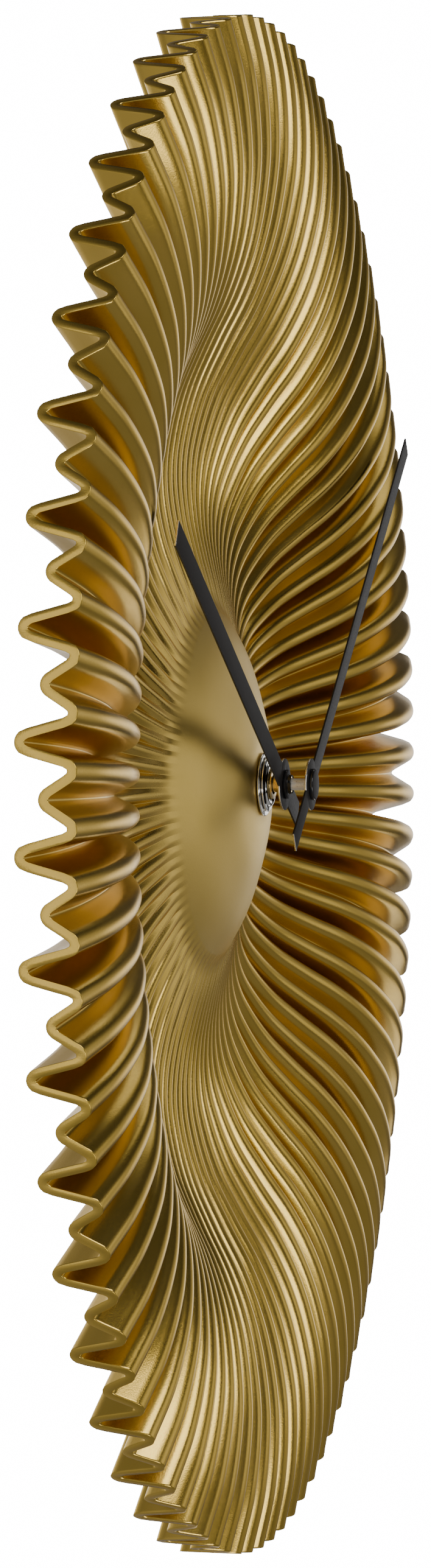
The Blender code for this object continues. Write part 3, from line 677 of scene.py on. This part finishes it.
def hand(name, size, bore_r, angle, body):
    """A flat bar with a round hub, its corners broken. The cut ends and the hub's edge are bare."""
    length, tail, width = size
    back, front = depths(name)
    half = width / 2
    meet = math.asin(half / HUB_R)
    step = (math.pi - 2 * meet) / HUB_ARC_STEPS
    right = [math.pi / 2 - meet - i * step for i in range(HUB_ARC_STEPS + 1)]
    outline = [(half, length)]
    outline += [(HUB_R * math.cos(a), HUB_R * math.sin(a)) for a in right]
    outline += [(half, -tail), (-half, -tail)]
    outline += [(-HUB_R * math.cos(a), HUB_R * math.sin(a)) for a in reversed(right)]
    outline.append((-half, length))
    round_angles = np.linspace(0, 2 * math.pi, BORE_STEPS, endpoint=False)
    hole = [(bore_r * math.cos(a), bore_r * math.sin(a)) for a in round_angles]
    curve = bpy.data.curves.new(name + "_outline", "CURVE")
    curve.dimensions = "2D"
    curve.fill_mode = "BOTH"
    curve.extrude = (front - back) / 2 - BROKEN_CORNER
    curve.bevel_depth = BROKEN_CORNER
    curve.bevel_resolution = 1
    curve.offset = -BROKEN_CORNER
    for loop in (outline, hole):
        spline = curve.splines.new("POLY")
        spline.points.add(len(loop) - 1)
        for point, (x, y) in zip(spline.points, loop):
            point.co = (x, y, 0.0, 1.0)
        spline.use_cyclic_u = True
    flat = bpy.data.objects.new(name + "_outline", curve)
    bpy.context.scene.collection.objects.link(flat)
    bpy.context.view_layer.update()
    mesh = bpy.data.meshes.new_from_object(flat.evaluated_get(bpy.context.evaluated_depsgraph_get()))
    bpy.data.objects.remove(flat, do_unlink=True)
    stand = Matrix.Translation((0.0, -(back + front) / 2, 0.0))
    stand = stand @ Matrix.Rotation(angle, 4, "Y") @ Matrix.Rotation(math.pi / 2, 4, "X")
    mesh.transform(stand)
    weld(mesh)
    mesh.materials.clear()
    for finish in ("hand_black", "painted_edge", "cut_edge"):
        mesh.materials.append(materials[finish])
    along = Vector((math.sin(angle), 0.0, math.cos(angle)))
    for polygon in mesh.polygons:
        if abs(polygon.normal.y) < 0.5:
            at_hub = polygon.center.xz.length < HUB_R * 1.05
            at_end = abs(polygon.normal.dot(along)) > 0.5
            polygon.material_index = 2 if at_hub or at_end else 1
    mesh.shade_smooth()
    mesh.set_sharp_from_angle(angle=math.radians(35))
    piece(name + "_bar", mesh, materials["hand_black"], body, "hand_black", name)


def fixings(chrome):
    back, front = depths("fixing_washer")
    washer = [
        (4.4, back), (7.9, back), (8.35, back + 0.2 * MM), (8.4, back + 0.5 * MM),
        (8.2, front - 0.1 * MM), (7.6, front), (4.4, front),
    ]
    turned_piece("fixing_washer_turned", washer, chrome, "root", "chrome", "fixing_washer")
    back, front = depths("fixing_nut")
    nut = [
        (4.1, back), (6.9, back), (7.2, back + 0.15 * MM), (7.2, back + 0.55 * MM),
        (6.7, back + 0.8 * MM), (5.9, back + 0.85 * MM), (5.8, front - 0.25 * MM), (5.5, front),
        (4.7, front), (4.1, front - 0.4 * MM),
    ]
    turned_piece("fixing_nut_turned", nut, chrome, "root", "chrome", "fixing_nut")


def satin_front(boss):
    """A boss is glossy round its side and satin, like its hand, on the faces turned forward."""
    mesh = boss.data
    mesh.materials.append(materials["hand_black"])
    for polygon in mesh.polygons:
        if polygon.normal.y < -0.8:
            polygon.material_index = 1


def bosses(gloss):
    back, front = depths("hour_hand_collar")
    bore = HOUR_TUBE_R / MM + 0.1
    collar = [
        (bore, back), (3.85, back), (3.85, back + 0.65 * MM), (3.7, back + 0.75 * MM),
        (2.55, back + 0.8 * MM), (2.5, front), (bore, front),
    ]
    satin_front(turned_piece(
        "hour_hand_collar_turned", collar, gloss, "hour", "hand_black", "hour_hand_collar"))
    back, front = depths("minute_hand_cap")
    bore = MINUTE_ARBOR_R / MM + 0.15
    cap = [
        (bore, back), (4.1, back), (4.1, front - 0.3 * MM), (3.95, front - 0.12 * MM),
        (3.6, front - 0.03 * MM), (0.0, front), (0.0, back + 0.5 * MM), (bore, back + 0.5 * MM),
    ]
    satin_front(turned_piece(
        "minute_hand_cap_turned", cap, gloss, "minute", "hand_black", "minute_hand_cap"))


def paint_stem(node_name, metal, plastic_depth):
    """The front part of a wheel's stem is metal; the wheel itself stays plastic."""
    mesh = NODES[node_name].data
    mesh.materials.append(metal)
    for polygon in mesh.polygons:
        if -polygon.center.y > plastic_depth:
            polygon.material_index = 1


materials = make_materials()
make_camera()
make_world()
make_lights()
make_floor()

# Every CAD node takes the material that its slot is named after.
SLOT_OF = {part["node"]: part["material_slot"] for part in frame["record"]["subparts"]}
for node_name, node in NODES.items():
    node.data.materials.clear()
    node.data.materials.append(materials[SLOT_OF[node_name]])

pleated_dial()
fixings(materials["chrome"])
bosses(materials["boss_black"])
for one_hand in HANDS:
    hand(*one_hand)
# The hour tube is brass and the minute arbor is plated, forward of these depths.
paint_stem("hour_wheel", materials["brass"], 18 * MM)
paint_stem("minute_wheel", materials["plated"], 15 * MM)
